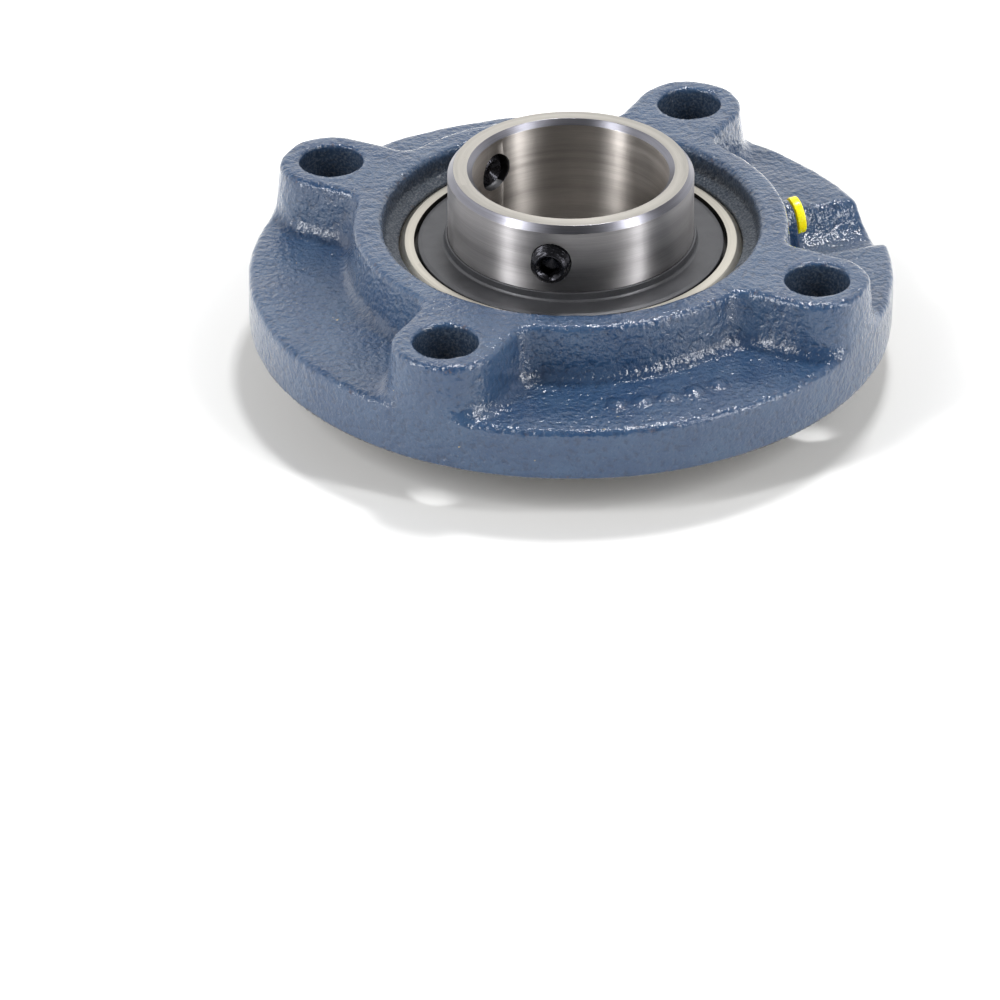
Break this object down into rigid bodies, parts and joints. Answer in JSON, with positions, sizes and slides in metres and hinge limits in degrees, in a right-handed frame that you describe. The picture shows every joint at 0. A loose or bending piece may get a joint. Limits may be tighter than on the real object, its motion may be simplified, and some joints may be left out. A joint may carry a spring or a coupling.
{
  "type": "flange mount bearing",
  "caption": "Round cast flange unit with a self-aligning ball bearing insert, wide inner ring with set screws, bolt bosses and a rear pilot spigot.",
  "frame": {"origin": "centre of the mounting face, on the shaft axis", "axes": "+Z along the shaft axis, from the mounting face towards the wide end of the inner ring; +X towards the grease port"},
  "size_m": [0.165, 0.165, 0.0546],
  "materials": {
    "housing_paint": "glossy blue-grey enamel over rough cast iron",
    "ring_steel": "ground and turned bearing steel",
    "ball_steel": "polished",
    "cage_steel": "pressed steel strip",
    "seal_core": "pressed steel",
    "seal_rubber": "matt nitrile",
    "slinger": "dark matt phosphated steel",
    "set_screw": "black oxide",
    "plug": "bright yellow moulded plastic"
  },
  "bodies": {
    "housing": {"housing": "housing_paint"},
    "outer_ring": {"outer_ring": "ring_steel", "seal_front_core": "seal_core", "seal_front_lip": "seal_rubber", "seal_rear_core": "seal_core", "seal_rear_lip": "seal_rubber"},
    "inner_ring": {"inner_ring": "ring_steel", "slinger_front": "slinger", "slinger_rear": "slinger"},
    "cage": {"cage_front": "cage_steel", "cage_rear": "cage_steel", "cage_rivets": "cage_steel"},
    "ball_01": {"ball_01": "ball_steel"},
    "ball_02": {"ball_02": "ball_steel"},
    "ball_03": {"ball_03": "ball_steel"},
    "ball_04": {"ball_04": "ball_steel"},
    "ball_05": {"ball_05": "ball_steel"},
    "ball_06": {"ball_06": "ball_steel"},
    "ball_07": {"ball_07": "ball_steel"},
    "ball_08": {"ball_08": "ball_steel"},
    "ball_09": {"ball_09": "ball_steel"},
    "ball_10": {"ball_10": "ball_steel"},
    "set_screw_1": {"set_screw_1": "set_screw"},
    "set_screw_2": {"set_screw_2": "set_screw"},
    "grease_port_plug": {"grease_port_plug": "plug"}
  },
  "joints": [
    {"name": "self_align", "type": "hinge", "parent": "housing", "child": "outer_ring", "pos_m": [0, 0, 0.01], "axis": [0, 1, 0], "range_deg": [-3, 3]},
    {"name": "inner_spin", "type": "hinge", "parent": "outer_ring", "child": "inner_ring", "pos_m": [0, 0, 0.01], "axis": [0, 0, 1], "continuous": true},
    {"name": "cage_spin", "type": "hinge", "parent": "outer_ring", "child": "cage", "pos_m": [0, 0, 0.01], "axis": [0, 0, 1], "continuous": true},
    {"name": "ball_01_roll", "type": "hinge", "parent": "cage", "child": "ball_01", "pos_m": [0.035, 0, 0.01], "axis": [0, 0, 1], "continuous": true},
    {"name": "ball_02_roll", "type": "hinge", "parent": "cage", "child": "ball_02", "pos_m": [0.02832, 0.02057, 0.01], "axis": [0, 0, 1], "continuous": true},
    {"name": "ball_03_roll", "type": "hinge", "parent": "cage", "child": "ball_03", "pos_m": [0.01082, 0.03329, 0.01], "axis": [0, 0, 1], "continuous": true},
    {"name": "ball_04_roll", "type": "hinge", "parent": "cage", "child": "ball_04", "pos_m": [-0.01082, 0.03329, 0.01], "axis": [0, 0, 1], "continuous": true},
    {"name": "ball_05_roll", "type": "hinge", "parent": "cage", "child": "ball_05", "pos_m": [-0.02832, 0.02057, 0.01], "axis": [0, 0, 1], "continuous": true},
    {"name": "ball_06_roll", "type": "hinge", "parent": "cage", "child": "ball_06", "pos_m": [-0.035, 0, 0.01], "axis": [0, 0, 1], "continuous": true},
    {"name": "ball_07_roll", "type": "hinge", "parent": "cage", "child": "ball_07", "pos_m": [-0.02832, -0.02057, 0.01], "axis": [0, 0, 1], "continuous": true},
    {"name": "ball_08_roll", "type": "hinge", "parent": "cage", "child": "ball_08", "pos_m": [-0.01082, -0.03329, 0.01], "axis": [0, 0, 1], "continuous": true},
    {"name": "ball_09_roll", "type": "hinge", "parent": "cage", "child": "ball_09", "pos_m": [0.01082, -0.03329, 0.01], "axis": [0, 0, 1], "continuous": true},
    {"name": "ball_10_roll", "type": "hinge", "parent": "cage", "child": "ball_10", "pos_m": [0.02832, -0.02057, 0.01], "axis": [0, 0, 1], "continuous": true},
    {"name": "set_screw_1_travel", "type": "slide", "parent": "inner_ring", "child": "set_screw_1", "axis": [-0.4617, -0.887, 0], "range_m": [-0.0005, 0.004]},
    {"name": "set_screw_2_travel", "type": "slide", "parent": "inner_ring", "child": "set_screw_2", "axis": [-0.5373, 0.8434, 0], "range_m": [-0.0005, 0.004]},
    {"name": "plug_pull", "type": "slide", "parent": "housing", "child": "grease_port_plug", "axis": [0.9921, 0, 0.1253], "range_m": [0, 0.008]}
  ],
  "couplings": [
    {"joint": "cage_spin", "follows": "inner_spin", "ratio": 0.40929},
    {"joint": "ball_01_roll", "follows": "inner_spin", "ratio": -2.6652},
    {"joint": "ball_02_roll", "follows": "inner_spin", "ratio": -2.6652},
    {"joint": "ball_03_roll", "follows": "inner_spin", "ratio": -2.6652},
    {"joint": "ball_04_roll", "follows": "inner_spin", "ratio": -2.6652},
    {"joint": "ball_05_roll", "follows": "inner_spin", "ratio": -2.6652},
    {"joint": "ball_06_roll", "follows": "inner_spin", "ratio": -2.6652},
    {"joint": "ball_07_roll", "follows": "inner_spin", "ratio": -2.6652},
    {"joint": "ball_08_roll", "follows": "inner_spin", "ratio": -2.6652},
    {"joint": "ball_09_roll", "follows": "inner_spin", "ratio": -2.6652},
    {"joint": "ball_10_roll", "follows": "inner_spin", "ratio": -2.6652}
  ]
}
